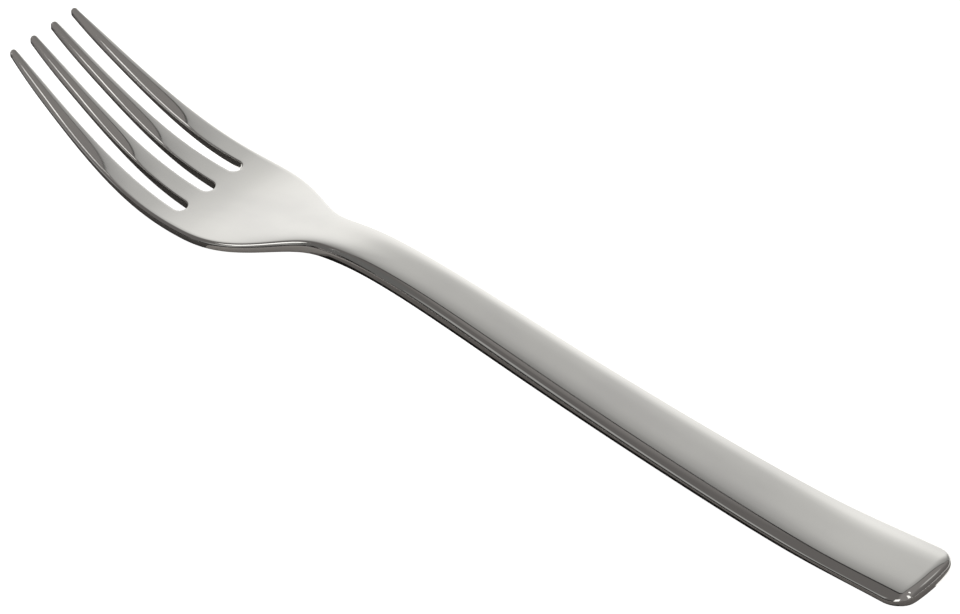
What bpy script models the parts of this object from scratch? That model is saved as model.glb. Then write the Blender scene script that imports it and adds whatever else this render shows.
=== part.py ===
"""Fruit fork: one forged and polished piece of stainless steel, with four tines and a slim flared handle.

Metres, +Z up. X runs from the tine tips (-X) to the end of the handle (+X), and the fork lies as on a table:
on the belly of its head and on a small flat under its handle, both at Z = 0. Its middle plane is Y = 0, so
only the +Y half is drawn and a Mirror modifier makes the other half.
"""
import math

import bmesh
import bpy
import numpy as np

MM = 0.001

# Lengths along the fork
OVERALL_LENGTH = 170.0 * MM
TINE_LENGTH = 34.4 * MM  # tine tip to slot root
TIP_ROUND_LENGTH = 1.5 * MM  # length over which a tine closes to its tip
BELLY_BEHIND_ROOTS = 2.0 * MM  # slot root to the lowest and widest place of the head
PALM_LENGTH = 25.95 * MM  # slot root to the narrowest place of the neck
SHOULDER_AHEAD_OF_NECK = 8.7 * MM  # where the head's side turns from hollow to round
ARCH_BEHIND_NECK = 9.25 * MM  # narrowest place of the neck to the top of the arch
REST_FROM_END = 23.7 * MM  # end of the handle to the middle of the flat that it rests on
REST_LENGTH = 8.0 * MM

# Side profile, measured on the underside
TIP_HEIGHT = 13.8 * MM
TIP_ANGLE = math.radians(32.3)
TIP_BEND_RADIUS = 64.0 * MM
BELLY_RADIUS = 77.0 * MM
ARCH_HEIGHT = 4.93 * MM
ARCH_RADIUS = 82.0 * MM
REST_RADIUS = 164.0 * MM  # of the bend that is ground flat where the handle rests
REST_SPARE = 1.35  # depth of the grind, over the least that gives the flat its length
END_HEIGHT = 1.25 * MM
END_ANGLE = math.radians(3.1)

# Thickness of the steel on the middle line
TIP_THICKNESS = 1.04 * MM
ROOT_THICKNESS = 1.53 * MM
NECK_THICKNESS = 3.0 * MM
HANDLE_THICKNESS = 2.4 * MM

# Crowns: how far a face of the tines and the handle falls from its middle line to its edge
TINE_CROWN = 0.23 * MM
TOP_CROWN_SHARE = 0.14  # of the handle's half-width
CROWN_POWER = 3.8
END_FALL = 0.5 * MM  # fall of the upper face to the end of the handle
END_FALL_LENGTH = 5.0 * MM
UNDER_CROWN = 0.4 * MM
UNDER_FLAT_SHARE = 0.6  # part of the half-width that is flat underneath
PALM_DISH = 0.22 * MM  # how far the head's sides stand above its middle line

# Plan outline
TIP_SPAN = 15.3 * MM
TIP_SPREAD_ANGLE = math.radians(6.9)  # outer side of the outer tine, where it starts at the tip
HEAD_WIDTH = 21.7 * MM
HEAD_SIDE_RADIUS = 120.0 * MM
SHOULDER_WIDTH = 13.2 * MM
SHOULDER_ANGLE = math.radians(28.2)
NECK_WIDTH = 8.2 * MM
NECK_SIDE_RADIUS = 480.0 * MM
END_WIDTH = 13.9 * MM
END_FLARE_ANGLE = math.radians(2.1)
END_ROUND_RADIUS = 33.4 * MM
CORNER_RADIUS = 3.7 * MM

# Slots between the tines
SLOT_WIDTH = 2.48 * MM
SLOT_PITCH_TIP = 4.5 * MM
SLOT_PITCH_ROOT = 6.14 * MM

# Rounded edges
EDGE_RADIUS = 0.7 * MM
SLOT_EDGE_RADIUS = 0.22 * MM
EDGE_WALL_SHARE = 0.42  # largest part of the wall that one rounded edge may take

# Fineness of the mesh
TIP_STEPS = 4
TINE_STEPS = 12
ROOT_STEPS = 5
PALM_STEP = 2.0 * MM
HANDLE_STEP = 4.0 * MM
CORNER_STEPS = 6
END_STEPS = 4
TINE_COLUMNS = 4
EDGE_STEPS = 3
MERGE_DISTANCE = 0.01 * MM

STEEL_COLOUR = (0.63, 0.62, 0.59, 1.0)
STEEL_ROUGHNESS = 0.08

# Places along the fork, from the tips
BELLY_X = TINE_LENGTH + BELLY_BEHIND_ROOTS
NECK_X = TINE_LENGTH + PALM_LENGTH
ARCH_X = NECK_X + ARCH_BEHIND_NECK
REST_X = OVERALL_LENGTH - REST_FROM_END
REST_START_X = REST_X - REST_LENGTH / 2
REST_END_X = REST_X + REST_LENGTH / 2
REST_CUT = REST_SPARE * REST_LENGTH**2 / (8 * REST_RADIUS)  # depth that is ground away

# Nodes of the curves: place, value, slope and curvature
UNDERSIDE_NODES = (
    (0.0, TIP_HEIGHT, -math.tan(TIP_ANGLE), 1 / TIP_BEND_RADIUS),
    (BELLY_X, 0.0, 0.0, 1 / BELLY_RADIUS),
    (ARCH_X, ARCH_HEIGHT, 0.0, -1 / ARCH_RADIUS),
    (REST_X, -REST_CUT, 0.0, 1 / REST_RADIUS),
    (OVERALL_LENGTH, END_HEIGHT, math.tan(END_ANGLE), 0.0),
)
OUTER_EDGE_NODES = (
    (0.0, TIP_SPAN / 2, math.tan(TIP_SPREAD_ANGLE), 0.0),
    (BELLY_X, HEAD_WIDTH / 2, 0.0, -1 / HEAD_SIDE_RADIUS),
    (NECK_X - SHOULDER_AHEAD_OF_NECK, SHOULDER_WIDTH / 2, -math.tan(SHOULDER_ANGLE), 0.0),
    (NECK_X, NECK_WIDTH / 2, 0.0, 1 / NECK_SIDE_RADIUS),
    (OVERALL_LENGTH, END_WIDTH / 2, math.tan(END_FLARE_ANGLE), 0.0),
)
THICKNESS_NODES = (
    (0.0, TIP_THICKNESS, 0.0, 0.0),
    (TINE_LENGTH, ROOT_THICKNESS, (ROOT_THICKNESS - TIP_THICKNESS) / TINE_LENGTH, 0.0),
    (ARCH_X, NECK_THICKNESS, 0.0, 0.0),
    (REST_X, HANDLE_THICKNESS, 0.0, 0.0),
    (OVERALL_LENGTH, HANDLE_THICKNESS, 0.0, 0.0),
)


def smooth_curve(x, nodes):
    """Value at x of the curve of fifth degree that meets each node's value, slope and curvature."""
    after = 1
    while after < len(nodes) - 1 and x > nodes[after][0]:
        after += 1
    x0, value0, slope0, bend0 = nodes[after - 1]
    x1, value1, slope1, bend1 = nodes[after]
    span = x1 - x0
    u = (x - x0) / span
    rise = u**3 * (10 - 15 * u + 6 * u**2)
    start = value0 * (1 - rise)
    start += slope0 * span * (u - 6 * u**3 + 8 * u**4 - 3 * u**5)
    start += bend0 * span**2 * (u**2 - 3 * u**3 + 3 * u**4 - u**5) / 2
    finish = value1 * rise
    finish += slope1 * span * (-4 * u**3 + 7 * u**4 - 3 * u**5)
    finish += bend1 * span**2 * (u**3 - 2 * u**4 + u**5) / 2
    return start + finish


def eased(x, x0, x1):
    """Share from 0 at x0 to 1 at x1, level at both ends."""
    u = min(max((x - x0) / (x1 - x0), 0.0), 1.0)
    return u**3 * (10 - 15 * u + 6 * u**2)


def outer_edge(x):
    """Half-width of the fork."""
    return smooth_curve(x, OUTER_EDGE_NODES)


def slot_line(x):
    """Y of the middle of the side slot."""
    return SLOT_PITCH_TIP + (SLOT_PITCH_ROOT - SLOT_PITCH_TIP) * x / TINE_LENGTH


def tine_crown(x, y):
    """Fall of a tine's face at a point: full at the tip, none at the slot root."""
    fade = 1 - eased(x, 0.0, TINE_LENGTH)
    if fade == 0.0:
        return 0.0
    gap = SLOT_WIDTH / 2
    if y < slot_line(x):
        low, high = gap, slot_line(x) - gap
    else:
        low, high = slot_line(x) + gap, outer_edge(x)
    across = (2 * y - low - high) / (high - low)
    return TINE_CROWN * fade * min(across**2, 1.0)


def handle_share(x):
    """How much of the handle's crowned section there is: none on the tines, all of it past the neck."""
    return eased(x, TINE_LENGTH, ARCH_X)


def palm_share(x):
    """How much of the head's dished section there is: most at the belly, none at the tips and past the neck."""
    return eased(x, 0.0, BELLY_X) - eased(x, BELLY_X, ARCH_X)


def underside(x, y):
    """Height of the lower face, which is ground flat where the handle rests."""
    across = max(0.0, abs(y) / outer_edge(x) - UNDER_FLAT_SHARE) / (1 - UNDER_FLAT_SHARE)
    rise = (PALM_DISH * palm_share(x) + UNDER_CROWN * handle_share(x)) * across**2
    middle = max(0.0, smooth_curve(x, UNDERSIDE_NODES))
    return middle + rise + tine_crown(x, y)


def top(x, y):
    """Height of the upper face, which falls to the sides of the handle and to its end."""
    across = abs(y) / outer_edge(x)
    rise = PALM_DISH * palm_share(x) * across**2
    crown = handle_share(x) * outer_edge(x) * TOP_CROWN_SHARE * across**CROWN_POWER
    endwards = max(0.0, 1 - (OVERALL_LENGTH - x) / END_FALL_LENGTH)
    middle = smooth_curve(x, UNDERSIDE_NODES) + smooth_curve(x, THICKNESS_NODES)
    return middle + rise - crown - END_FALL * endwards**2 - tine_crown(x, y)


def tine_stations():
    """Places along a tine, each with the shares that close the tine at its tip and the slot at its root."""
    root_radius = SLOT_WIDTH / 2
    stations = []
    for step in range(TIP_STEPS):
        angle = math.pi / 2 * step / TIP_STEPS
        stations.append((TIP_ROUND_LENGTH * (1 - math.cos(angle)), math.sin(angle), 1.0))
    straight = np.linspace(TIP_ROUND_LENGTH, TINE_LENGTH - root_radius, TINE_STEPS + 1)
    stations += [(x, 1.0, 1.0) for x in straight]
    for step in range(1, ROOT_STEPS + 1):
        angle = math.pi / 2 * step / ROOT_STEPS
        open_share = math.cos(angle) if step < ROOT_STEPS else 0.0
        stations.append((TINE_LENGTH - root_radius * (1 - math.sin(angle)), 1.0, open_share))
    return stations


def tine_sides(station, inner):
    """Both sides of the inner or outer tine of the +Y half at a station."""
    x, tip_share, slot_share = station
    gap = SLOT_WIDTH / 2 * slot_share
    if inner:
        low, high = gap, slot_line(x) - gap
    else:
        low, high = slot_line(x) + gap, outer_edge(x)
    middle = (low + high) / 2
    half = (high - low) / 2 * tip_share
    return (x, middle - half), (x, middle + half)


def spaced(start, finish, step):
    """Evenly spaced places after start, up to finish, about a step apart."""
    count = max(1, round((finish - start) / step))
    return list(np.linspace(start, finish, count + 1)[1:])


def handle_end():
    """Points round the corner of the handle and along its end, to the middle line."""
    end_centre = OVERALL_LENGTH - END_ROUND_RADIUS
    corner_y = END_WIDTH / 2 - CORNER_RADIUS
    reach = END_ROUND_RADIUS - CORNER_RADIUS
    corner_x = end_centre + math.sqrt(reach**2 - corner_y**2)
    corner_y = outer_edge(corner_x) - CORNER_RADIUS
    corner_x = end_centre + math.sqrt(reach**2 - corner_y**2)
    turn_end = math.atan2(corner_y, corner_x - end_centre)
    points = []
    for angle in np.linspace(math.pi / 2, turn_end, CORNER_STEPS + 1):
        points.append((corner_x + CORNER_RADIUS * math.cos(angle), corner_y + CORNER_RADIUS * math.sin(angle)))
    for angle in np.linspace(turn_end, 0.0, END_STEPS + 1)[1:]:
        y = END_ROUND_RADIUS * math.sin(angle)
        points.append((end_centre + END_ROUND_RADIUS * math.cos(angle), y))
    return points


def half_outline(stations):
    """Outline of the +Y half, walked from the middle slot's root to the middle of the handle's end."""
    inner = [tine_sides(station, True) for station in stations]
    outer = [tine_sides(station, False) for station in stations]
    walk = [low for low, high in reversed(inner)]
    walk += [high for low, high in inner[1:]]
    walk += [low for low, high in reversed(outer[:-1])]
    walk += [high for low, high in outer[1:]]
    end = handle_end()
    places = []
    for start, finish, step in (
        (TINE_LENGTH, BELLY_X, PALM_STEP),
        (BELLY_X, NECK_X, PALM_STEP),
        (NECK_X, ARCH_X, PALM_STEP),
        (ARCH_X, REST_START_X, HANDLE_STEP),
        (REST_START_X, REST_END_X, REST_LENGTH),
        (REST_END_X, end[0][0], HANDLE_STEP),
    ):
        places += spaced(start, finish, step)
    walk += [(x, outer_edge(x)) for x in places[:-1]]
    return np.array(walk + end)


def outward_normals(outline):
    """Normals of the outline in plan; the neighbours past its two ends are mirror images."""
    mirror = np.array((1.0, -1.0))
    padded = np.vstack((outline[1] * mirror, outline, outline[-2] * mirror))
    steps = np.diff(padded, axis=0)
    steps /= np.linalg.norm(steps, axis=1, keepdims=True)
    tangents = steps[:-1] + steps[1:]
    tangents /= np.linalg.norm(tangents, axis=1, keepdims=True)
    return np.column_stack((-tangents[:, 1], tangents[:, 0]))


def edge_rings(outline, slot_points):
    """Rings of points from the lower face's rim, round the rounded edges and the wall, to the upper face's rim.

    The first slot_points points of the outline border a slot, where the edges are sharper.
    """
    normals = outward_normals(outline)
    radii = []
    for index, (x, y) in enumerate(outline):
        wall = top(x, y) - underside(x, y)
        wanted = SLOT_EDGE_RADIUS if index < slot_points else EDGE_RADIUS
        radii.append(min(wanted, EDGE_WALL_SHARE * wall))
    radii = np.array(radii)[:, None]
    rings = []
    for step in range(EDGE_STEPS + 1):
        angle = math.pi / 2 * step / EDGE_STEPS
        plan = outline - normals * radii * (1 - math.sin(angle))
        lift = radii[:, 0] * (1 - math.cos(angle))
        rings.append([(x, y, underside(x, y) + up) for (x, y), up in zip(plan, lift)])
    for step in range(EDGE_STEPS + 1):
        angle = math.pi / 2 * step / EDGE_STEPS
        plan = outline - normals * radii * (1 - math.cos(angle))
        drop = radii[:, 0] * (1 - math.sin(angle))
        rings.append([(x, y, top(x, y) - down) for (x, y), down in zip(plan, drop)])
    return rings


def add_face(bm, corners):
    """Face on the corners, without repeats: a row that ends in one point gives triangles."""
    kept = list(dict.fromkeys(corners))
    if len(kept) > 2:
        bm.faces.new(kept)


def add_wall(bm, rings):
    """Edge and wall faces between neighbouring rings."""
    for lower, upper in zip(rings[:-1], rings[1:]):
        for i in range(len(lower) - 1):
            add_face(bm, (lower[i], upper[i], upper[i + 1], lower[i + 1]))


def add_row(bm, first, last, shares, height):
    """Row of vertices from one rim vertex to another, on the face whose height is given."""
    row = [first]
    for share in shares[1:-1]:
        x, y, _ = first.co.lerp(last.co, share)
        row.append(first if first is last else bm.verts.new((x, y, height(x, y))))
    return row + [last]


def add_skin(bm, rim, tine_count, end_count, height, faces_up):
    """Upper or lower face: rows across both tines, then across the palm and handle to the middle line."""
    even = np.linspace(0.0, 1.0, TINE_COLUMNS + 1)
    last = tine_count - 1
    inner = [add_row(bm, rim[last - k], rim[last + k], even, height) for k in range(tine_count)]
    outer = [add_row(bm, rim[3 * last - k], rim[3 * last + k], even, height) for k in range(tine_count)]
    body = [inner[-1] + outer[-1][1:]]
    shares = [vert.co.y / body[0][-1].co.y for vert in body[0]]
    body_rim = rim[4 * last + 1:]
    turn = len(body_rim) - end_count
    turn_x = body_rim[turn - 1].co.x
    end_x = body_rim[-1].co.x
    for index, vert in enumerate(body_rim[:-1]):
        x = vert.co.x
        if index >= turn:
            x = turn_x + (end_x - turn_x) * (index - turn + 1) / end_count
        middle = bm.verts.new((x, 0.0, height(x, 0.0)))
        body.append(add_row(bm, middle, vert, shares, height))
    body.append([body_rim[-1]] * len(shares))
    for rows in (inner, outer, body):
        for near, far in zip(rows[:-1], rows[1:]):
            for j in range(len(near) - 1):
                corners = (near[j], far[j], far[j + 1], near[j + 1])
                add_face(bm, corners if faces_up else corners[::-1])


def half_fork():
    """Mesh of the +Y half, open on the middle plane."""
    stations = tine_stations()
    outline = half_outline(stations)
    slot_points = 3 * (len(stations) - 1) + TIP_STEPS
    end_count = CORNER_STEPS + END_STEPS
    bm = bmesh.new()
    rings = [[bm.verts.new(point) for point in ring] for ring in edge_rings(outline, slot_points)]
    add_wall(bm, rings)
    add_skin(bm, rings[0], len(stations), end_count, underside, False)
    add_skin(bm, rings[-1], len(stations), end_count, top, True)
    for vert in bm.verts:
        vert.co.x -= OVERALL_LENGTH / 2
    mesh = bpy.data.meshes.new("fork")
    bm.to_mesh(mesh)
    bm.free()
    return mesh


def steel():
    """Polished stainless steel."""
    material = bpy.data.materials.new("polished_steel")
    material.use_nodes = True
    shader = material.node_tree.nodes["Principled BSDF"]
    shader.inputs["Base Color"].default_value = STEEL_COLOUR
    shader.inputs["Metallic"].default_value = 1.0
    shader.inputs["Roughness"].default_value = STEEL_ROUGHNESS
    return material


def build():
    """Clear the scene and make the fork."""
    for old in list(bpy.data.objects):
        bpy.data.objects.remove(old, do_unlink=True)
    mesh = half_fork()
    mesh.shade_smooth()
    mesh.materials.append(steel())
    fork = bpy.data.objects.new("fork", mesh)
    bpy.context.scene.collection.objects.link(fork)
    mirror = fork.modifiers.new("other_half", "MIRROR")
    mirror.use_axis = (False, True, False)
    mirror.use_mirror_merge = True
    mirror.merge_threshold = MERGE_DISTANCE


build()
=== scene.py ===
"""Looks of a fruit fork: mirror-polished stainless steel on a white table, under soft studio light.

Metres, +Z up. X runs from the tine tips (-X) to the end of the handle (+X), and the fork lies on the
table at Z = 0. It is made as the real one is: a flat blank is cut and rolled, and a press gives it its
side profile.
"""

import enum
import logging
import math
from dataclasses import dataclass
from typing import Any

import bmesh
import bpy
import numpy as np
from mathutils import Matrix, Vector


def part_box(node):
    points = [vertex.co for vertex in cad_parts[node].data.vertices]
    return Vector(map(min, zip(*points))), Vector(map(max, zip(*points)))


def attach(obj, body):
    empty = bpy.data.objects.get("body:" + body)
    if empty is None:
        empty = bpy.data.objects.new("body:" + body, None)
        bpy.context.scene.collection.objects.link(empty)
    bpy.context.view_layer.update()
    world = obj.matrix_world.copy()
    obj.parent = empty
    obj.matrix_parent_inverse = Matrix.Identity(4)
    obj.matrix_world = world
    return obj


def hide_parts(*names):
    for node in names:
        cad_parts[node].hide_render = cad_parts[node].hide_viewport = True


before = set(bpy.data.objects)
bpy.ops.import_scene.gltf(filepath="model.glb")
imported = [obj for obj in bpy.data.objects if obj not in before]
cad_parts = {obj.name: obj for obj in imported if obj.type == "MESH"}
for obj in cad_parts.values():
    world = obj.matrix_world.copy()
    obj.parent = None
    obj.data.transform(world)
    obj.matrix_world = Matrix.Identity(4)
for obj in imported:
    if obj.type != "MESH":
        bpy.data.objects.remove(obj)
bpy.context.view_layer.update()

MM = 0.001
IMAGE_WIDTH = 960
POINT_SIZES = ("Place", "Height", "Slope", "Bend")
RAMP_TOP_DEGREES = 90.0

log = logging.getLogger("fruit_fork")
Array = np.ndarray
Vert = bmesh.types.BMVert
Colour = tuple[float, float, float, float]
Point = tuple[float, float, float]
Station = tuple[float, float, float]


class Face(enum.Enum):
    """The two broad faces of the fork."""

    UPPER = "upper"
    LOWER = "lower"


class Tine(enum.Enum):
    """The two tines of one half of the fork."""

    INNER = "inner"
    OUTER = "outer"


@dataclass(frozen=True)
class CurvePoint:
    """Place that a smooth curve passes, with its value, slope and curvature there."""

    name: str
    place: float
    value: float
    slope: float = 0.0
    bend: float = 0.0


@dataclass(frozen=True)
class SmoothCurve:
    """Curve of fifth degree from point to point, with no jump in slope or curvature."""

    points: tuple[CurvePoint, ...]

    def at(self, x: Array) -> Array:
        """Values of the curve.

        Args:
            x: Places along the fork.

        Returns:
            The value at each place.
        """
        x = np.asarray(x, float)
        total = np.full(x.shape, self.points[0].value)
        for start, finish in zip(self.points[:-1], self.points[1:]):
            span = finish.place - start.place
            u = np.clip((x - start.place) / span, 0.0, 1.0)
            rise = finish.value - start.value
            terms = span_terms(span, rise, start.slope, finish.slope, start.bend, finish.bend)
            total += polynomial(u, terms)
        return total


def span_terms(span: Any, rise: Any, slope0: Any, slope1: Any, bend0: Any, bend1: Any) -> list[Any]:
    """Factors of u to u**5 that lead a curve from one point to the next, for numbers or for node values.

    Args:
        span: Distance between the points.
        rise: Change of value between them.
        slope0: Slope at the first point.
        slope1: Slope at the second point.
        bend0: Curvature at the first point.
        bend1: Curvature at the second point.

    Returns:
        The five factors, lowest power first.
    """
    run0 = slope0 * span
    run1 = slope1 * span
    half_square = span * span * 0.5
    swing0 = bend0 * half_square
    swing1 = bend1 * half_square
    cubic = rise * 10.0 - run0 * 6.0 - run1 * 4.0 - swing0 * 3.0 + swing1
    quartic = rise * -15.0 + run0 * 8.0 + run1 * 7.0 + swing0 * 3.0 - swing1 * 2.0
    quintic = rise * 6.0 - run0 * 3.0 - run1 * 3.0 - swing0 + swing1
    return [run0, swing0, cubic, quartic, quintic]


def polynomial(u: Any, terms: list[Any]) -> Any:
    """Sum of the terms times rising powers of u, for numbers or for node values."""
    total = terms[-1]
    for term in reversed(terms[:-1]):
        total = total * u + term
    return total * u


def eased(x: Array, x0: float, x1: float) -> Array:
    """Shares from 0 at x0 to 1 at x1, level at both ends."""
    u = np.clip((np.asarray(x, float) - x0) / (x1 - x0), 0.0, 1.0)
    return u**3 * (10 - 15 * u + 6 * u**2)


def spaced(start: float, finish: float, step: float) -> list[float]:
    """Evenly spaced places after start, up to finish, about a step apart."""
    count = max(1, round((finish - start) / step))
    return list(np.linspace(start, finish, count + 1)[1:])


@dataclass
class ForkBlank:
    """Cut and rolled blank of the fork's +Y half before the press, flat under its middle line."""

    length: float
    tine_length: float = 34.4 * MM
    tip_round_length: float = 0.4 * MM
    tip_taper_length: float = 7.0 * MM
    tip_width_share: float = 0.67
    belly_behind_roots: float = 2.0 * MM
    palm_length: float = 25.95 * MM
    shoulder_ahead_of_neck: float = 8.7 * MM
    arch_behind_neck: float = 9.25 * MM
    rest_from_end: float = 23.7 * MM

    tip_thickness: float = 1.04 * MM
    root_thickness: float = 1.53 * MM
    neck_thickness: float = 3.0 * MM
    handle_thickness: float = 2.4 * MM

    palm_dish: float = 0.22 * MM
    tine_crown: float = 0.23 * MM
    top_crown_share: float = 0.14
    crown_power: float = 3.8
    end_fall: float = 0.5 * MM
    end_fall_length: float = 2.1 * MM
    under_crown: float = 0.4 * MM
    under_flat_share: float = 0.6

    tip_span: float = 15.3 * MM
    tip_spread_angle: float = math.radians(6.9)
    head_width: float = 21.7 * MM
    head_side_radius: float = 120.0 * MM
    shoulder_width: float = 13.2 * MM
    shoulder_angle: float = math.radians(28.2)
    neck_width: float = 8.2 * MM
    neck_side_radius: float = 480.0 * MM
    end_width: float = 13.9 * MM
    end_flare_angle: float = math.radians(2.1)
    end_round_radius: float = 33.4 * MM
    corner_radius: float = 3.7 * MM

    slot_width: float = 2.48 * MM
    slot_pitch_tip: float = 4.5 * MM
    slot_pitch_root: float = 6.14 * MM

    edge_radius: float = 0.7 * MM
    slot_edge_radius: float = 0.22 * MM
    edge_wall_share: float = 0.42

    tip_steps: int = 10
    tine_steps: int = 64
    root_steps: int = 14
    palm_step: float = 0.6 * MM
    handle_step: float = 0.9 * MM
    corner_steps: int = 18
    end_steps: int = 12
    tine_columns: int = 10
    edge_steps: int = 6

    def __post_init__(self) -> None:
        """Work out the places along the fork and the curves of its width and thickness."""
        self.belly_x = self.tine_length + self.belly_behind_roots
        self.neck_x = self.tine_length + self.palm_length
        self.arch_x = self.neck_x + self.arch_behind_neck
        self.rest_x = self.length - self.rest_from_end
        shoulder_x = self.neck_x - self.shoulder_ahead_of_neck
        self.half_width = SmoothCurve((
            CurvePoint("tip", 0.0, self.tip_span / 2, math.tan(self.tip_spread_angle)),
            CurvePoint("belly", self.belly_x, self.head_width / 2, 0.0, -1 / self.head_side_radius),
            CurvePoint("shoulder", shoulder_x, self.shoulder_width / 2, -math.tan(self.shoulder_angle)),
            CurvePoint("neck", self.neck_x, self.neck_width / 2, 0.0, 1 / self.neck_side_radius),
            CurvePoint("end", self.length, self.end_width / 2, math.tan(self.end_flare_angle)),
        ))
        root_slope = (self.root_thickness - self.tip_thickness) / self.tine_length
        self.thickness = SmoothCurve((
            CurvePoint("tip", 0.0, self.tip_thickness),
            CurvePoint("root", self.tine_length, self.root_thickness, root_slope),
            CurvePoint("arch", self.arch_x, self.neck_thickness),
            CurvePoint("rest", self.rest_x, self.handle_thickness),
            CurvePoint("end", self.length, self.handle_thickness),
        ))

    def slot_line(self, x: Array) -> Array:
        """Y of the middle of the side slot."""
        return self.slot_pitch_tip + (self.slot_pitch_root - self.slot_pitch_tip) * x / self.tine_length

    def tine_fall(self, x: Array, y: Array) -> Array:
        """Fall of a tine's face from its middle line: full at the tip, none at the slot root."""
        fade = 1 - eased(x, 0.0, self.tine_length)
        gap = self.slot_width / 2
        line = self.slot_line(x)
        low = np.where(y < line, gap, line + gap)
        high = np.where(y < line, line - gap, self.half_width.at(x))
        across = (2 * y - low - high) / (high - low)
        return self.tine_crown * fade * np.minimum(across**2, 1.0)

    def height(self, face: Face, x: Array, y: Array) -> Array:
        """Heights of a broad face above the flat that the blank lies on.

        Args:
            face: Which face.
            x: Places along the fork, from the tips.
            y: Places across it.

        Returns:
            The height at each place.
        """
        half_width = self.half_width.at(x)
        across = np.abs(y) / half_width
        palm_share = eased(x, 0.0, self.belly_x) - eased(x, self.belly_x, self.arch_x)
        handle_share = eased(x, self.tine_length, self.arch_x)
        if face is Face.LOWER:
            outside = np.maximum(0.0, across - self.under_flat_share) / (1 - self.under_flat_share)
            rise = self.palm_dish * palm_share + self.under_crown * handle_share
            return rise * outside**2 + self.tine_fall(x, y)
        endwards = np.maximum(0.0, 1 - (self.length - x) / self.end_fall_length)
        crown = handle_share * self.top_crown_share * half_width * across**self.crown_power
        fall = crown + self.end_fall * endwards**2 + self.tine_fall(x, y)
        return self.thickness.at(x) + self.palm_dish * palm_share * across**2 - fall

    def taper(self, x: float) -> float:
        """Share of a tine's width that is left where it narrows to its blunt tip."""
        return 1 - (1 - self.tip_width_share) * max(0.0, 1 - x / self.tip_taper_length) ** 2

    def stations(self) -> list[Station]:
        """Places along a tine, from its tip to the root of the slot.

        Returns:
            The X of each place, the share of the tine's width that its tip leaves there, and the share of
            the slot's width that its round root leaves.
        """
        root_radius = self.slot_width / 2
        straight_end = self.tine_length - root_radius
        found = []
        for step in range(self.tip_steps):
            angle = math.pi / 2 * step / self.tip_steps
            x = self.tip_round_length * (1 - math.cos(angle))
            found.append((x, math.sin(angle) * self.taper(x), 1.0))
        straight = np.linspace(self.tip_round_length, straight_end, self.tine_steps + 1)
        found += [(x, self.taper(x), 1.0) for x in straight]
        for step in range(1, self.root_steps + 1):
            angle = math.pi / 2 * step / self.root_steps
            open_share = math.cos(angle) if step < self.root_steps else 0.0
            found.append((self.tine_length - root_radius * (1 - math.sin(angle)), 1.0, open_share))
        return found

    def sides(self, station: Station, tine: Tine) -> tuple[tuple[float, float], ...]:
        """Points on both sides of a tine at a station.

        Args:
            station: Place along the tine with its closing shares.
            tine: Which tine of the half.

        Returns:
            The point nearer the middle plane and the one further from it.
        """
        x, tip_share, slot_share = station
        gap = self.slot_width / 2 * slot_share
        line = self.slot_line(x)
        if tine is Tine.INNER:
            low, high = gap, line - gap
        else:
            low, high = line + gap, float(self.half_width.at(x))
        middle = (low + high) / 2
        half = (high - low) / 2 * tip_share
        return (x, middle - half), (x, middle + half)

    def handle_end(self) -> list[tuple[float, float]]:
        """Points round the corner of the handle and along its end, to the middle line."""
        end_centre = self.length - self.end_round_radius
        reach = self.end_round_radius - self.corner_radius
        corner_y = self.end_width / 2 - self.corner_radius
        corner_x = end_centre + math.sqrt(reach**2 - corner_y**2)
        # The handle is a little narrower there than at its end, so the corner moves in.
        corner_y = float(self.half_width.at(corner_x)) - self.corner_radius
        corner_x = end_centre + math.sqrt(reach**2 - corner_y**2)
        turn_end = math.atan2(corner_y, corner_x - end_centre)
        points = []
        for angle in np.linspace(math.pi / 2, turn_end, self.corner_steps + 1):
            away = Vector((math.cos(angle), math.sin(angle))) * self.corner_radius
            points.append((corner_x + away.x, corner_y + away.y))
        for angle in np.linspace(turn_end, 0.0, self.end_steps + 1)[1:]:
            away = Vector((math.cos(angle), math.sin(angle))) * self.end_round_radius
            points.append((end_centre + away.x, away.y))
        return points

    def outline(self, stations: list[Station]) -> Array:
        """Outline of the half, walked from the middle slot's root to the middle of the handle's end.

        Args:
            stations: Places along a tine.

        Returns:
            One row of X and Y for each point.
        """
        inner = [self.sides(station, Tine.INNER) for station in stations]
        outer = [self.sides(station, Tine.OUTER) for station in stations]
        walk = [low for low, high in reversed(inner)]
        walk += [high for low, high in inner[1:]]
        walk += [low for low, high in reversed(outer[:-1])]
        walk += [high for low, high in outer[1:]]
        end = self.handle_end()
        places: list[float] = []
        for start, finish, step in (
            (self.tine_length, self.belly_x, self.palm_step),
            (self.belly_x, self.neck_x, self.palm_step),
            (self.neck_x, self.arch_x, self.palm_step),
            (self.arch_x, self.rest_x, self.handle_step),
            (self.rest_x, end[0][0], self.handle_step),
        ):
            places += spaced(start, finish, step)
        walk += [(x, float(self.half_width.at(x))) for x in places[:-1]]
        return np.array(walk + end)

    def rings(self, outline: Array, slot_points: int) -> list[Array]:
        """Rings of points up the wall and its rounded edges, from the lower rim to the upper one.

        Args:
            outline: Outline of the half.
            slot_points: How many of its first points border a slot, where the edges are sharper.

        Returns:
            One array of points for each ring.
        """
        normals = outward_normals(outline)
        x, y = outline.T
        wall = self.height(Face.UPPER, x, y) - self.height(Face.LOWER, x, y)
        wanted = np.where(np.arange(len(outline)) < slot_points, self.slot_edge_radius, self.edge_radius)
        radii = np.minimum(wanted, self.edge_wall_share * wall)
        found = []
        for face in (Face.LOWER, Face.UPPER):
            for step in range(self.edge_steps + 1):
                angle = math.pi / 2 * step / self.edge_steps
                if face is Face.UPPER:
                    angle = math.pi / 2 - angle
                plan = outline - normals * (radii * (1 - math.sin(angle)))[:, None]
                away = radii * (1 - math.cos(angle))
                z = self.height(face, *plan.T) + (away if face is Face.LOWER else -away)
                found.append(np.column_stack((plan, z)))
        return found

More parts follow.
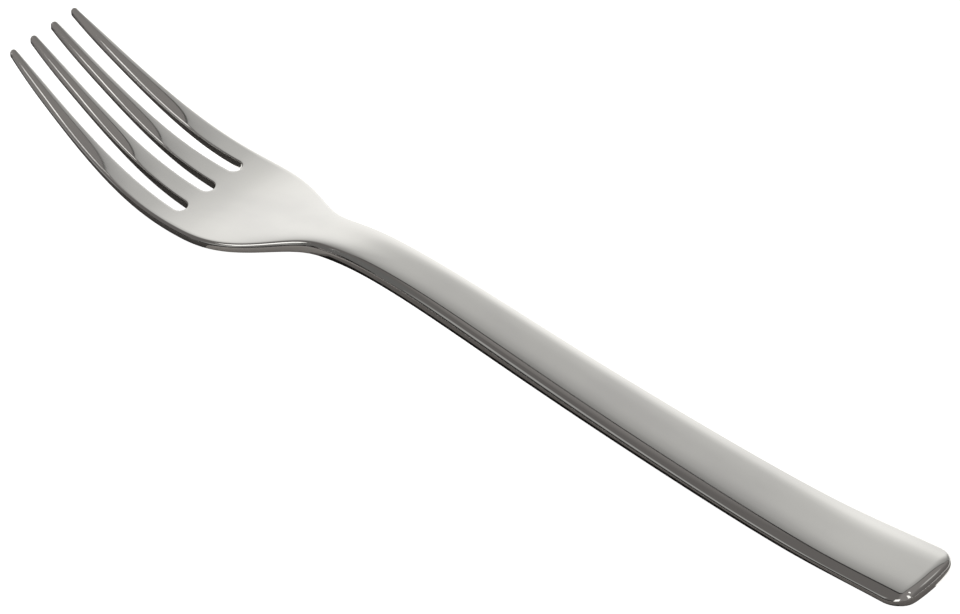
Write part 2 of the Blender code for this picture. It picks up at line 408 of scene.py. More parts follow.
    def mesh(self) -> bpy.types.Mesh:
        """Mesh of the half, open on the middle plane, with X from the tips."""
        stations = self.stations()
        outline = self.outline(stations)
        slot_points = 3 * (len(stations) - 1) + self.tip_steps
        bm = bmesh.new()
        rings = [[bm.verts.new(point) for point in ring] for ring in self.rings(outline, slot_points)]
        for lower, upper in zip(rings[:-1], rings[1:]):
            for i in range(len(lower) - 1):
                add_face(bm, (lower[i], upper[i], upper[i + 1], lower[i + 1]))
        self.add_skin(bm, rings[0], len(stations), Face.LOWER)
        self.add_skin(bm, rings[-1], len(stations), Face.UPPER)
        mesh = bpy.data.meshes.new("fork_blank")
        bm.to_mesh(mesh)
        bm.free()
        return mesh

    def add_row(
        self, bm: bmesh.types.BMesh, first: Vert, last: Vert, shares: Array, face: Face
    ) -> list[Vert]:
        """Add a row of vertices across a broad face, from one rim vertex to another.

        Args:
            bm: Mesh to add to.
            first: Vertex that the row starts at.
            last: Vertex that it ends at.
            shares: Where the row's vertices lie between the two, from 0 to 1.
            face: Face that the row lies on.

        Returns:
            The row's vertices, both ends included.
        """
        if first is last:
            return [first] * len(shares)
        inside = np.asarray(shares)[1:-1]
        x = first.co.x + (last.co.x - first.co.x) * inside
        y = first.co.y + (last.co.y - first.co.y) * inside
        points = np.column_stack((x, y, self.height(face, x, y)))
        return [first, *(bm.verts.new(point) for point in points), last]

    def add_skin(self, bm: bmesh.types.BMesh, rim: list[Vert], tine_count: int, face: Face) -> None:
        """Add a broad face: rows across both tines, then across the palm and handle to the middle line.

        Args:
            bm: Mesh to add to.
            rim: Vertices round the face.
            tine_count: How many stations a tine has.
            face: Which face.
        """
        even = np.linspace(0.0, 1.0, self.tine_columns + 1)
        last = tine_count - 1
        inner, outer = (
            [self.add_row(bm, rim[tip - k], rim[tip + k], even, face) for k in range(tine_count)]
            for tip in (last, 3 * last)
        )
        body = [inner[-1] + outer[-1][1:]]
        shares = np.array([vert.co.y for vert in body[0]]) / body[0][-1].co.y
        body_rim = rim[4 * last + 1:]
        end_count = self.corner_steps + self.end_steps
        turn = len(body_rim) - end_count
        turn_x = body_rim[turn - 1].co.x
        end_x = body_rim[-1].co.x
        for index, vert in enumerate(body_rim[:-1]):
            x = vert.co.x
            if index >= turn:
                x = turn_x + (end_x - turn_x) * (index - turn + 1) / end_count
            z = float(self.height(face, np.array(x), np.array(0.0)))
            body.append(self.add_row(bm, bm.verts.new((x, 0.0, z)), vert, shares, face))
        body.append([body_rim[-1]] * len(shares))
        for rows in (inner, outer, body):
            for near, far in zip(rows[:-1], rows[1:]):
                for j in range(len(near) - 1):
                    corners = (near[j], far[j], far[j + 1], near[j + 1])
                    add_face(bm, corners if face is Face.UPPER else corners[::-1])


def outward_normals(outline: Array) -> Array:
    """Normals of the outline in plan; the neighbours past its two ends are mirror images."""
    mirror = np.array((1.0, -1.0))
    padded = np.vstack((outline[1] * mirror, outline, outline[-2] * mirror))
    steps = np.diff(padded, axis=0)
    steps /= np.linalg.norm(steps, axis=1, keepdims=True)
    tangents = steps[:-1] + steps[1:]
    tangents /= np.linalg.norm(tangents, axis=1, keepdims=True)
    return np.column_stack((-tangents[:, 1], tangents[:, 0]))


def add_face(bm: bmesh.types.BMesh, corners: tuple[Vert, ...]) -> None:
    """Add a face on the corners, without repeats: a row that ends in one point gives triangles."""
    kept = list(dict.fromkeys(corners))
    if len(kept) > 2:
        bm.faces.new(kept)


@dataclass(frozen=True)
class Term:
    """Number inside a node tree: sums and products of terms become Math nodes."""

    tree: bpy.types.NodeTree
    socket: bpy.types.NodeSocket

    def combined(self, operation: str, other: "Term | float") -> "Term":
        """Result of a Math node on this term and another.

        Args:
            operation: Name of the Math node's operation.
            other: Term or plain number.

        Returns:
            The node's output as a term.
        """
        node = self.tree.nodes.new("ShaderNodeMath")
        node.operation = operation
        self.tree.links.new(self.socket, node.inputs[0])
        if isinstance(other, Term):
            self.tree.links.new(other.socket, node.inputs[1])
        else:
            node.inputs[1].default_value = other
        return Term(self.tree, node.outputs[0])

    def __add__(self, other: "Term | float") -> "Term":
        """Sum."""
        return self.combined("ADD", other)

    def __sub__(self, other: "Term | float") -> "Term":
        """Difference."""
        return self.combined("SUBTRACT", other)

    def __mul__(self, other: "Term | float") -> "Term":
        """Product."""
        return self.combined("MULTIPLY", other)

    def __truediv__(self, other: "Term | float") -> "Term":
        """Quotient."""
        return self.combined("DIVIDE", other)

    def clamped(self) -> "Term":
        """The term, kept between 0 and 1."""
        low = self.combined("MAXIMUM", 0.0)
        return low.combined("MINIMUM", 1.0)


@dataclass
class Nodes:
    """Nodes of a shape, a material or the world, made and linked by name."""

    tree: bpy.types.NodeTree

    def add(self, kind: str, values: dict[Any, Any], **settings: Any) -> bpy.types.Node:
        """Add a node.

        Args:
            kind: Type of the node.
            values: A number, colour or another node's output for each input named.
            settings: Properties of the node.

        Returns:
            The node.
        """
        node = self.tree.nodes.new(kind)
        for name, value in settings.items():
            setattr(node, name, value)
        for name, value in values.items():
            socket = node.inputs[name]
            if isinstance(value, bpy.types.NodeSocket):
                self.tree.links.new(value, socket)
            else:
                socket.default_value = value
        return node

    def step(self, value: Term, limits: tuple[float, float]) -> Term:
        """Soft step from 0 to 1.

        Args:
            value: Value that steps.
            limits: Where the step starts and where it ends.

        Returns:
            The step.
        """
        step = self.add(
            "ShaderNodeMapRange",
            {"Value": value.socket, "From Min": limits[0], "From Max": limits[1]},
            interpolation_type="SMOOTHSTEP",
        )
        return Term(self.tree, step.outputs["Result"])


@dataclass
class Press:
    """Press that gives the blank its side profile, measured underneath, and adds the mirrored half."""

    blank: ForkBlank
    tip_height: float = 13.8 * MM
    tip_angle: float = math.radians(32.3)
    tip_bend_radius: float = 64.0 * MM
    belly_radius: float = 77.0 * MM
    arch_height: float = 4.93 * MM
    arch_radius: float = 82.0 * MM
    rest_radius: float = 164.0 * MM
    rest_length: float = 8.0 * MM
    rest_spare: float = 1.35
    end_height: float = 1.25 * MM
    end_angle: float = math.radians(3.1)
    merge_distance: float = 0.01 * MM

    def profile(self) -> SmoothCurve:
        """Side profile of the underside, with places as on the blank."""
        blank = self.blank
        rest_cut = self.rest_spare * self.rest_length**2 / 8 / self.rest_radius
        return SmoothCurve((
            CurvePoint("Tip", 0.0, self.tip_height, -math.tan(self.tip_angle), 1 / self.tip_bend_radius),
            CurvePoint("Belly", blank.belly_x, 0.0, 0.0, 1 / self.belly_radius),
            CurvePoint("Arch", blank.arch_x, self.arch_height, 0.0, -1 / self.arch_radius),
            CurvePoint("Rest", blank.rest_x, -rest_cut, 0.0, 1 / self.rest_radius),
            CurvePoint("End", blank.length, self.end_height, math.tan(self.end_angle)),
        ))

    def span_group(self) -> bpy.types.NodeTree:
        """Node group for the rise of a smooth curve along one span, level before it and after it."""
        tree = bpy.data.node_groups.new("smooth_span", "GeometryNodeTree")
        source = tree.nodes.new("NodeGroupInput")
        terms = []
        for name in ("Along", *(f"{size} {end}" for end in (0, 1) for size in POINT_SIZES)):
            tree.interface.new_socket(name=name, in_out="INPUT", socket_type="NodeSocketFloat")
            terms.append(Term(tree, source.outputs[name]))
        along, place0, height0, slope0, bend0, place1, height1, slope1, bend1 = terms
        span = place1 - place0
        u = ((along - place0) / span).clamped()
        rise = polynomial(u, span_terms(span, height1 - height0, slope0, slope1, bend0, bend1))
        tree.interface.new_socket(name="Rise", in_out="OUTPUT", socket_type="NodeSocketFloat")
        Nodes(tree).add("NodeGroupOutput", {"Rise": rise.socket})
        return tree

    def tree(self, profile: SmoothCurve) -> bpy.types.NodeTree:
        """Tree that presses the blank, mirrors it and joins the halves.

        Args:
            profile: Side profile, whose points name the tree's inputs.

        Returns:
            The node tree.
        """
        tree = bpy.data.node_groups.new("press", "GeometryNodeTree")
        sockets = {
            "Blank": "NodeSocketGeometry",
            "Merge Distance": "NodeSocketFloat",
            "Steel": "NodeSocketMaterial",
            **dict.fromkeys(self.sizes(profile), "NodeSocketFloat"),
        }
        for name, kind in sockets.items():
            tree.interface.new_socket(name=name, in_out="INPUT", socket_type=kind)
        tree.interface.new_socket(name="Fork", in_out="OUTPUT", socket_type="NodeSocketGeometry")
        nodes = Nodes(tree)
        source = nodes.add("NodeGroupInput", {}).outputs
        position = nodes.add("GeometryNodeInputPosition", {})
        parts = nodes.add("ShaderNodeSeparateXYZ", {"Vector": position.outputs[0]}).outputs
        height = Term(tree, parts["Z"]) + Term(tree, source[f"{profile.points[0].name} Height"])
        group = self.span_group()
        for points in zip(profile.points[:-1], profile.points[1:]):
            sizes = {
                f"{size} {end}": source[f"{point.name} {size}"]
                for end, point in enumerate(points)
                for size in POINT_SIZES
            }
            span = nodes.add("GeometryNodeGroup", {"Along": parts["X"], **sizes}, node_tree=group)
            height = height + Term(tree, span.outputs["Rise"])
        # The bend under the handle is ground flat at the table.
        ground = height.combined("MAXIMUM", 0.0)
        place = nodes.add("ShaderNodeCombineXYZ", {"X": parts["X"], "Y": parts["Y"], "Z": ground.socket})
        pressed = nodes.add(
            "GeometryNodeSetPosition", {"Geometry": source["Blank"], "Position": place.outputs[0]}
        )
        other = nodes.add(
            "GeometryNodeTransform", {"Geometry": pressed.outputs[0], "Scale": (1.0, -1.0, 1.0)}
        )
        turned = nodes.add("GeometryNodeFlipFaces", {"Mesh": other.outputs[0]})
        joined = nodes.add("GeometryNodeJoinGeometry", {0: pressed.outputs[0]})
        tree.links.new(turned.outputs[0], joined.inputs[0])
        merged = nodes.add(
            "GeometryNodeMergeByDistance",
            {"Geometry": joined.outputs[0], "Distance": source["Merge Distance"]},
        )
        smooth = nodes.add("GeometryNodeSetShadeSmooth", {"Geometry": merged.outputs[0]})
        real = nodes.add("GeometryNodeRealizeInstances", {"Geometry": smooth.outputs[0]})
        dressed = nodes.add(
            "GeometryNodeSetMaterial", {"Geometry": real.outputs[0], "Material": source["Steel"]}
        )
        nodes.add("NodeGroupOutput", {"Fork": dressed.outputs[0]})
        return tree

    def sizes(self, profile: SmoothCurve) -> dict[str, float]:
        """Named inputs of the tree: the place, height, slope and bend of each point of the profile."""
        found = {}
        for point in profile.points:
            values = (point.place, point.value, point.slope, point.bend)
            found |= {f"{point.name} {size}": value for size, value in zip(POINT_SIZES, values)}
        return found

    def pressed(self, half: bpy.types.Mesh, steel: bpy.types.Material) -> bpy.types.Mesh:
        """Press a blank.

        Args:
            half: Mesh of the blank's half.
            steel: Material of the fork.

        Returns:
            Plain mesh of the whole fork, with X from the tips.
        """
        profile = self.profile()
        tree = self.tree(profile)
        values: dict[str, Any] = self.sizes(profile)
        values |= {"Merge Distance": self.merge_distance, "Steel": steel}
        holder = bpy.data.objects.new("press", half)
        bpy.context.scene.collection.objects.link(holder)
        modifier = holder.modifiers.new("press", "NODES")
        modifier.node_group = tree
        for item in tree.interface.items_tree:
            if item.name in values:
                modifier[item.identifier] = values[item.name]
        evaluated = holder.evaluated_get(bpy.context.evaluated_depsgraph_get())
        mesh = bpy.data.meshes.new_from_object(evaluated)
        bpy.data.objects.remove(holder, do_unlink=True)
        return mesh


def new_material(name: str) -> tuple[bpy.types.Material, Nodes]:
    """Empty node material.

    Args:
        name: Name of the material.

    Returns:
        The material and its nodes.
    """
    material = bpy.data.materials.new(name)
    material.use_nodes = True
    material.node_tree.nodes.clear()
    return material, Nodes(material.node_tree)


@dataclass(frozen=True)
class Grain:
    """Marks of one kind in a polished face.

    They have a length along the fork, a width, a slant and a number of finer layers.
    """

    length: float
    width: float
    detail: float
    slant: float = 0.0

    def add(self, nodes: Nodes, place: bpy.types.NodeSocket) -> Term:
        """Add noise that is stretched along the fork.

        Args:
            nodes: Nodes to add to.
            place: Coordinates on the fork.

        Returns:
            The noise, from 0 to 1.
        """
        turned = nodes.add("ShaderNodeMapping", {"Vector": place, "Rotation": (0.0, 0.0, self.slant)})
        sized = nodes.add(
            "ShaderNodeMapping",
            {"Vector": turned.outputs[0], "Scale": (1 / self.length, 1 / self.width, 1 / self.width)},
        )
        noise = nodes.add(
            "ShaderNodeTexNoise", {"Vector": sized.outputs[0], "Scale": 1.0, "Detail": self.detail}
        )
        return Term(nodes.tree, noise.outputs[0])


@dataclass(frozen=True)
class PolishedSteel:
    """Mirror-polished stainless steel with fine polish grain, hairlines and faint smudges."""

    colour: Colour = (0.63, 0.62, 0.59, 1.0)
    smudged_colour: Colour = (0.6, 0.59, 0.565, 1.0)
    roughness: float = 0.045
    smudged_roughness: float = 0.09
    hairline_roughness: float = 0.12
    smudges: Grain = Grain(length=16.0 * MM, width=9.0 * MM, detail=3.0)
    polish: Grain = Grain(length=9.0 * MM, width=0.16 * MM, detail=2.0)
    hairlines: Grain = Grain(length=14.0 * MM, width=0.1 * MM, detail=1.0, slant=math.radians(4.0))
    smudge_limits: tuple[float, float] = (0.42, 0.7)
    hairline_limits: tuple[float, float] = (0.74, 0.8)
    grain_depth: float = 0.0001 * MM
    hairline_depth: float = 3.0

    def material(self) -> bpy.types.Material:
        """Material of the finish."""
        material, nodes = new_material("polished_steel")
        place = nodes.add("ShaderNodeTexCoord", {}).outputs["Object"]
        smudge = nodes.step(self.smudges.add(nodes, place), self.smudge_limits)
        hairline = nodes.step(self.hairlines.add(nodes, place), self.hairline_limits)
        dulled = smudge * (self.smudged_roughness - self.roughness) + self.roughness
        roughness = dulled + hairline * self.hairline_roughness
        colour = nodes.add(
            "ShaderNodeMixRGB",
            {"Fac": smudge.socket, "Color1": self.colour, "Color2": self.smudged_colour},
        )
        height = self.polish.add(nodes, place) - hairline * self.hairline_depth
        bump = nodes.add("ShaderNodeBump", {"Height": height.socket, "Distance": self.grain_depth})
        shader = nodes.add(
            "ShaderNodeBsdfPrincipled",
            {
                "Base Color": colour.outputs[0],
                "Metallic": 1.0,
                "Roughness": roughness.socket,
                "Normal": bump.outputs[0],
            },
        )
        nodes.add("ShaderNodeOutputMaterial", {"Surface": shader.outputs["BSDF"]})
        return material


@dataclass
class Fork:
    """The fork: one piece of steel, in place of the CAD solid."""

    finish: PolishedSteel
    name: str = "polished_fork"
    node: str = "fork"
    body: str = "root"
    slot: str = "polished_steel"

    def build(self) -> bpy.types.Object:
        """Make the fork's object, dress it and tie it to the frame."""
        low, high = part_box(self.node)
        blank = ForkBlank(length=high.x - low.x)
        mesh = Press(blank).pressed(blank.mesh(), self.finish.material())
        mesh.transform(Matrix.Translation((low.x, 0.0, low.z)))
        mesh.name = self.name
        fork = bpy.data.objects.new(self.name, mesh)
        bpy.context.scene.collection.objects.link(fork)
        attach(fork, self.body)
        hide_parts(self.node)
        return fork


@dataclass(frozen=True)
class PhotoCamera:
    """Camera of the photograph: where it aims, how far off it is, and its view angle."""

    aim: Point = (-0.44 * MM, 3.01 * MM, 4.0 * MM)
    distance: float = 878.3 * MM
    azimuth: float = math.radians(-40.27)
    elevation: float = math.radians(40.69)
    focal_pixels: float = 6000.0
    sensor_width: float = 36.0

    def forward(self) -> Vector:
        """Direction that the camera looks in."""
        level = math.cos(self.elevation)
        x, y = math.sin(self.azimuth) * level, math.cos(self.azimuth) * level
        return Vector((x, y, -math.sin(self.elevation)))

    def build(self) -> bpy.types.Object:
        """Make the camera and set it as the scene's."""
        data = bpy.data.cameras.new("photo_camera")
        data.sensor_fit = "HORIZONTAL"
        data.sensor_width = self.sensor_width
        data.lens = self.focal_pixels / IMAGE_WIDTH * self.sensor_width
        camera = bpy.data.objects.new("photo_camera", data)
        bpy.context.scene.collection.objects.link(camera)
        forward = self.forward()
        camera.location = Vector(self.aim) - forward * self.distance
        camera.rotation_euler = forward.to_track_quat("-Z", "Y").to_euler()
        bpy.context.scene.camera = camera
        return camera


@dataclass(frozen=True)
class WhiteTable:
    """White table: matt, with a glow of its own that keeps the background white."""

    half_size: float = 3.0
    colour: Colour = (0.9, 0.9, 0.9, 1.0)
    glow: float = 0.97

    def material(self) -> bpy.types.Material:
        """Material with a glow for the camera, metal and glass, and a matt part for the shadow."""
        material, nodes = new_material("white_table")
        rays = nodes.add("ShaderNodeLightPath", {})
        straight = nodes.add(
            "ShaderNodeMath",
            {0: rays.outputs["Is Camera Ray"], 1: rays.outputs["Is Glossy Ray"]},
            operation="ADD",
        )
        seen = nodes.add(
            "ShaderNodeMath",
            {0: straight.outputs[0], 1: rays.outputs["Is Transmission Ray"]},
            operation="ADD",
            use_clamp=True,
        )
        strength = nodes.add("ShaderNodeMath", {0: seen.outputs[0], 1: self.glow}, operation="MULTIPLY")
        glow = nodes.add("ShaderNodeEmission", {"Strength": strength.outputs[0]})
        matt = nodes.add("ShaderNodeBsdfDiffuse", {"Color": self.colour})
        both = nodes.add("ShaderNodeAddShader", {0: matt.outputs[0], 1: glow.outputs[0]})
        nodes.add("ShaderNodeOutputMaterial", {"Surface": both.outputs[0]})
        return material

    def build(self) -> bpy.types.Object:
        """Make the table."""
        half = self.half_size
        signs = ((-1, -1), (1, -1), (1, 1), (-1, 1))
        corners = tuple(Vector((half * x, half * y, 0.0)) for x, y in signs)
        return new_card("table", corners, self.material())


@dataclass(frozen=True)
class GreyCard:
    """Matt card on the table that only the steel sees: painted shade of the table, shown only in the
    steel's reflections.

    It runs from one X to another, and its near and far edges have a Y at each of these ends.
    """

    name: str
    ends: tuple[float, float]
    far_edges: tuple[float, float]
    colour: Colour
    near_edges: tuple[float, float] = (-250.0 * MM, -250.0 * MM)
    lift: float = 0.02 * MM

    def build(self) -> bpy.types.Object:
        """Make the card."""
        material, nodes = new_material(self.name)
        shader = nodes.add("ShaderNodeBsdfDiffuse", {"Color": self.colour})
        nodes.add("ShaderNodeOutputMaterial", {"Surface": shader.outputs[0]})
        left, right = self.ends
        corners = (
            Vector((left, self.near_edges[0], self.lift)),
            Vector((right, self.near_edges[1], self.lift)),
            Vector((right, self.far_edges[1], self.lift)),
            Vector((left, self.far_edges[0], self.lift)),
        )
        card = new_card(self.name, corners, material)
        card.visible_diffuse = False
        hide_card(card)
        return card


@dataclass(frozen=True)
class GlowStop:
    """Glow of a light screen at one height, given in degrees above the table as the fork sees it."""

    degrees: float
    glow: float


@dataclass(frozen=True)
class LightScreen:
    """Glowing screen of the light tent, upright on the table.

    Angles beside the screen's middle are seen from the fork and grow clockwise from above. On the left the
    screen fades out, and on the right its glow fades to a weaker one. The upper edge can fall to both
    sides, and a dark hem can run along it.
    """

    name: str
    bearing: float
    distance: float
    stops: tuple[GlowStop, ...]
    left: tuple[float, float]
    right: tuple[float, float]
    right_end: float
    height: float
    tilt: float = 0.0
    right_glow: float = 0.0
    right_fall: float = 0.0
    left_lift: float = 0.0
    left_fall: float = 0.0
    left_hem_share: float = 1.0
    hem: float = 0.0
    hem_glow: float = 0.05
    edge_blur: float = 2.0 * MM

    def ramp(self, nodes: Nodes, above: Term) -> bpy.types.NodeSocket:
        """Add the glow by height.

        Args:
            nodes: Nodes of the screen's material.
            above: Angle above the table.

        Returns:
            The glow, as a grey colour.
        """
        ramp = nodes.add("ShaderNodeValToRGB", {"Fac": (above / math.radians(RAMP_TOP_DEGREES)).socket})
        marks = ramp.color_ramp.elements
        marks.remove(marks[-1])
        for index, stop in enumerate(self.stops):
            mark = marks[0] if index == 0 else marks.new(stop.degrees / RAMP_TOP_DEGREES)
            mark.color = grey(stop.glow)
        return ramp.outputs["Color"]

    def shader(self, nodes: Nodes) -> bpy.types.NodeSocket:
        """Add the screen's glow, clear past its left side and its upper edge.

        Args:
            nodes: Nodes of the screen's material.

        Returns:
            The shader.
        """
        place = nodes.add("ShaderNodeTexCoord", {})
        parts = nodes.add("ShaderNodeSeparateXYZ", {"Vector": place.outputs["Object"]})
        across, up = (Term(nodes.tree, parts.outputs[axis]) for axis in "XY")
        beside, above = (side.combined("ARCTAN2", self.distance) for side in (across, up))
        over_right = across * self.right_fall + up - self.height
        over_left = across * -self.left_fall + up - (self.height + self.left_lift)
        over = over_right.combined("MAXIMUM", over_left / self.left_hem_share)
        in_hem = nodes.step(over, (-self.hem - self.edge_blur, -self.hem))
        strength = (beside * self.tilt + 1.0) * (in_hem * (self.hem_glow - 1.0) + 1.0)
        on_right = nodes.step(beside, self.right)
        full, weak = self.ramp(nodes, above), grey(self.right_glow)
        colour = nodes.add("ShaderNodeMixRGB", {"Fac": on_right.socket, "Color1": full, "Color2": weak})
        glow = nodes.add("ShaderNodeEmission", {"Color": colour.outputs[0], "Strength": strength.socket})
        past_left = nodes.step(beside, self.left)
        inside = past_left - past_left * nodes.step(over, (-self.edge_blur, 0.0))
        clear = nodes.add("ShaderNodeBsdfTransparent", {})
        faded = nodes.add(
            "ShaderNodeMixShader", {0: inside.socket, 1: clear.outputs[0], 2: glow.outputs[0]}
        )
        return faded.outputs[0]

    def build(self) -> bpy.types.Object:
        """Make the screen."""
        material, nodes = new_material(self.name)
        nodes.add("ShaderNodeOutputMaterial", {"Surface": self.shader(nodes)})
        left, right = (math.tan(angle) * self.distance for angle in (self.left[0], self.right_end))
        top = self.height + self.left_lift
        places = ((left, 0.0), (right, 0.0), (right, top), (left, top))
        screen = new_card(self.name, tuple(Vector((x, y, 0.0)) for x, y in places), material)
        x, y = (turn(self.bearing) * self.distance for turn in (math.sin, math.cos))
        screen.location = (x, y, 0.0)
        screen.rotation_euler = (math.pi / 2, 0.0, -self.bearing)
        hide_card(screen)
        return screen


@dataclass(frozen=True)
class LightBar:
    """Narrow bar of light between two points, turned to one place on the fork; all in millimetres."""

    name: str
    ends: tuple[Point, Point]
    half_width: float
    aim: Point
    glow: float

    def build(self) -> bpy.types.Object:
        """Make the bar."""
        material, nodes = new_material(self.name)
        shader = nodes.add("ShaderNodeEmission", {"Strength": self.glow})
        nodes.add("ShaderNodeOutputMaterial", {"Surface": shader.outputs[0]})
        start, finish = (Vector(end) * MM for end in self.ends)
        facing = Vector(self.aim) * MM - (start + finish) / 2
        side = (finish - start).cross(facing).normalized() * (self.half_width * MM)
        bar = new_card(self.name, (start - side, start + side, finish + side, finish - side), material)
        hide_card(bar)
        return bar


@dataclass(frozen=True)
class DimRoom:
    """Dim room round the light tent, lighter straight behind the tent than at its sides.

    The lighter part starts and ends softly between two shares of the way to the side.
    """

    bearing: float
    side_colour: Colour = (0.185, 0.176, 0.175, 1.0)
    back_colour: Colour = (0.31, 0.296, 0.294, 1.0)
    left: tuple[float, float] = (-0.28, -0.08)
    right: tuple[float, float] = (0.5, 0.9)

    def build(self) -> bpy.types.World:
        """Make the world."""
        world = bpy.data.worlds.new("room")
        bpy.context.scene.world = world
        world.use_nodes = True
        world.node_tree.nodes.clear()
        nodes = Nodes(world.node_tree)
        place = nodes.add("ShaderNodeTexCoord", {})
        rightwards = (math.cos(self.bearing), -math.sin(self.bearing), 0.0)
        turned = nodes.add(
            "ShaderNodeVectorMath",
            {0: place.outputs["Generated"], 1: rightwards},
            operation="DOT_PRODUCT",
        )
        aside = Term(nodes.tree, turned.outputs["Value"])
        share = nodes.step(aside, self.left) - nodes.step(aside, self.right)
        colour = nodes.add(
            "ShaderNodeMixRGB",
            {"Fac": share.socket, "Color1": self.side_colour, "Color2": self.back_colour},
        )
        background = nodes.add("ShaderNodeBackground", {"Color": colour.outputs[0], "Strength": 1.0})
        nodes.add("ShaderNodeOutputWorld", {"Surface": background.outputs["Background"]})
        return world


def grey(level: float) -> Colour:
    """Grey of a level."""
    return (level, level, level, 1.0)


def new_card(name: str, corners: tuple[Vector, ...], material: bpy.types.Material) -> bpy.types.Object:
    """Flat card, as part of the stage.

    Args:
        name: Name of the object.
        corners: Its four corners in turn.
        material: What it is made of.

    Returns:
        The object, in the scene.
    """
    mesh = bpy.data.meshes.new(name)
    mesh.from_pydata(corners, [], [(0, 1, 2, 3)])
    mesh.materials.append(material)
    card = bpy.data.objects.new(name, mesh)
    bpy.context.scene.collection.objects.link(card)
    return card


def hide_card(card: bpy.types.Object) -> None:
    """Keep a card out of the picture, so that only the steel and the table show its light."""
    card.visible_camera = False
    card.visible_shadow = False


def tent(bearing: float) -> tuple[LightScreen, ...]:
    """Screens of the light tent.

    Args:
        bearing: Direction that the camera looks in, clockwise from +Y.

    Returns:
        The wall behind the fork, dimmer towards its upper edge, and a low dark screen and a weak light
        beside the camera.
    """
    beside_camera = bearing - math.radians(138.0)
    wall = LightScreen(
        name="back_wall",
        bearing=bearing,
        distance=255.0 * MM,
        stops=(
            GlowStop(0.0, 1.37),
            GlowStop(12.0, 1.36),
            GlowStop(18.0, 1.34),
            GlowStop(24.0, 1.28),
            GlowStop(30.0, 1.16),
            GlowStop(36.0, 0.94),
            GlowStop(42.0, 0.75),
            GlowStop(48.0, 0.68),
            GlowStop(53.0, 0.57),
            GlowStop(57.0, 0.51),
            GlowStop(61.0, 0.42),
            GlowStop(65.8, 0.36),
        ),
        left=(math.radians(-48.0), math.radians(-16.0)),
        right=(math.radians(16.0), math.radians(45.0)),
        right_end=math.radians(60.0),
        height=584.0 * MM,
        tilt=0.176,
        right_glow=0.33,
        right_fall=1.1,
        left_lift=110.0 * MM,
        left_fall=1.55,
        left_hem_share=2.9,
        hem=24.0 * MM,
    )
    low_screen = LightScreen(
        name="low_screen",
        bearing=beside_camera,
        distance=402.0 * MM,
        stops=(GlowStop(0.0, 0.04), GlowStop(13.0, 0.04)),
        left=(math.radians(-39.0), math.radians(-36.0)),
        right=(math.radians(28.0), math.radians(38.0)),
        right_end=math.radians(38.0),
        height=100.0 * MM,
    )
    side_light = LightScreen(
        name="side_light",
        bearing=beside_camera,
        distance=400.0 * MM,
        stops=(
            GlowStop(0.0, 0.04),
            GlowStop(14.0, 0.04),
            GlowStop(24.0, 0.5),
            GlowStop(38.0, 0.5),
            GlowStop(46.0, 0.2),
        ),
        left=(math.radians(8.0), math.radians(16.0)),
        right=(math.radians(25.0), math.radians(31.0)),
        right_end=math.radians(31.0),
        right_glow=0.185,
        height=420.0 * MM,
    )
    return wall, low_screen, side_light


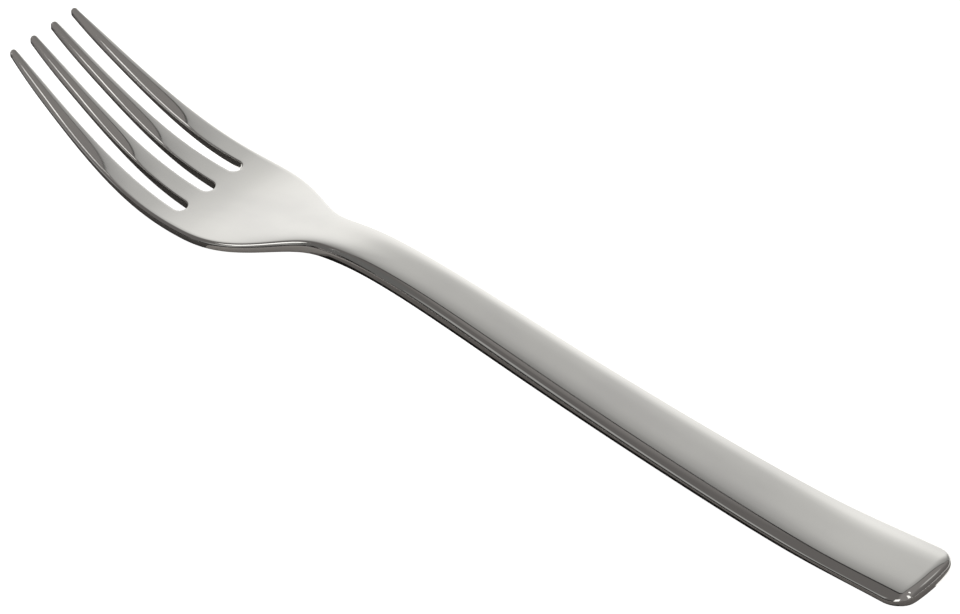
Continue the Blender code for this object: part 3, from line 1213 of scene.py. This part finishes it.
def small_lights() -> tuple[LightBar, ...]:
    """Bars that draw bright lines on the tines, the palm's rim and the handle's end.

    Returns:
        The bars, and a dim flag that shades the neck from the one at the palm.
    """
    tine_bar = LightBar(
        name="tine_bar",
        ends=((-140.0, 414.0, 1000.0), (265.0, 284.0, 1000.0)),
        half_width=24.0,
        aim=(-70.0, 5.0, 8.0),
        glow=1.9,
    )
    palm_bar = LightBar(
        name="palm_bar",
        ends=((-50.0, -36.0, 40.5), (-62.0, -22.0, 44.0)),
        half_width=6.0,
        aim=(-34.0, -7.0, 4.0),
        glow=2.0,
    )
    neck_flag = LightBar(
        name="neck_flag",
        ends=((-22.8, -9.0, 8.0), (-22.8, -9.0, 36.0)),
        half_width=10.8,
        aim=(-22.8, 0.0, 22.0),
        glow=0.18,
    )
    near_corner_bar = LightBar(
        name="near_corner_bar",
        ends=((146.0, -137.0, 2.0), (146.0, -137.0, 95.0)),
        half_width=30.0,
        aim=(83.0, -6.0, 2.5),
        glow=1.7,
    )
    end_corner_bar = LightBar(
        name="end_corner_bar",
        ends=((199.0, -24.0, 33.0), (199.0, -24.0, 250.0)),
        half_width=14.0,
        aim=(84.0, -5.0, 3.0),
        glow=1.6,
    )
    end_edge_bar = LightBar(
        name="end_edge_bar",
        ends=((118.0, 190.0, 232.0), (188.0, 163.0, 232.0)),
        half_width=14.0,
        aim=(84.5, 0.0, 2.5),
        glow=0.7,
    )
    return tine_bar, palm_bar, neck_flag, near_corner_bar, end_corner_bar, end_edge_bar


def ground_cards() -> tuple[GreyCard, ...]:
    """Cards round the fork, one after another along it, that paint the table's shade into the steel's
    reflections, lighter at the palm, and a dark one close to the handle.
    """
    tine_card = GreyCard(
        name="tine_card",
        ends=(-250.0 * MM, -43.0 * MM),
        far_edges=(14.0 * MM, 6.6 * MM),
        colour=(0.22, 0.21, 0.205, 1.0),
    )
    palm_card = GreyCard(
        name="palm_card",
        ends=(-43.0 * MM, -29.0 * MM),
        far_edges=(6.6 * MM, 6.0 * MM),
        colour=(0.85, 0.82, 0.8, 1.0),
    )
    handle_card = GreyCard(
        name="handle_card",
        ends=(-29.0 * MM, 86.0 * MM),
        far_edges=(6.0 * MM, 2.0 * MM),
        colour=(0.47, 0.45, 0.44, 1.0),
    )
    end_card = GreyCard(
        name="end_card",
        ends=(86.0 * MM, 300.0 * MM),
        far_edges=(30.0 * MM, 90.0 * MM),
        colour=(0.5, 0.48, 0.47, 1.0),
    )
    # Painted contact shadow: a near-black card along the handle, seen only in the steel's reflections.
    painted_contact_shadow_card = GreyCard(
        name="painted_contact_shadow_card",
        ends=(-28.0 * MM, 84.0 * MM),
        near_edges=(-8.8 * MM, -7.2 * MM),
        far_edges=(1.0 * MM, 1.0 * MM),
        lift=0.03 * MM,
        colour=(0.05, 0.048, 0.047, 1.0),
    )
    return tine_card, palm_card, handle_card, end_card, painted_contact_shadow_card


def main() -> None:
    """Build the fork, the camera and the studio."""
    logging.basicConfig(level=logging.INFO, format="%(name)s: %(message)s")
    bpy.context.scene.view_settings.view_transform = "Standard"
    view = PhotoCamera()
    camera = view.build()
    log.info("camera at %s", tuple(round(value, 4) for value in camera.location))
    fork = Fork(PolishedSteel()).build()
    log.info("%s: %d faces", fork.name, len(fork.data.polygons))
    WhiteTable().build()
    DimRoom(bearing=view.azimuth).build()
    for item in (*ground_cards(), *tent(view.azimuth), *small_lights()):
        item.build()
    log.info("studio built")


if __name__ == "__main__":
    main()
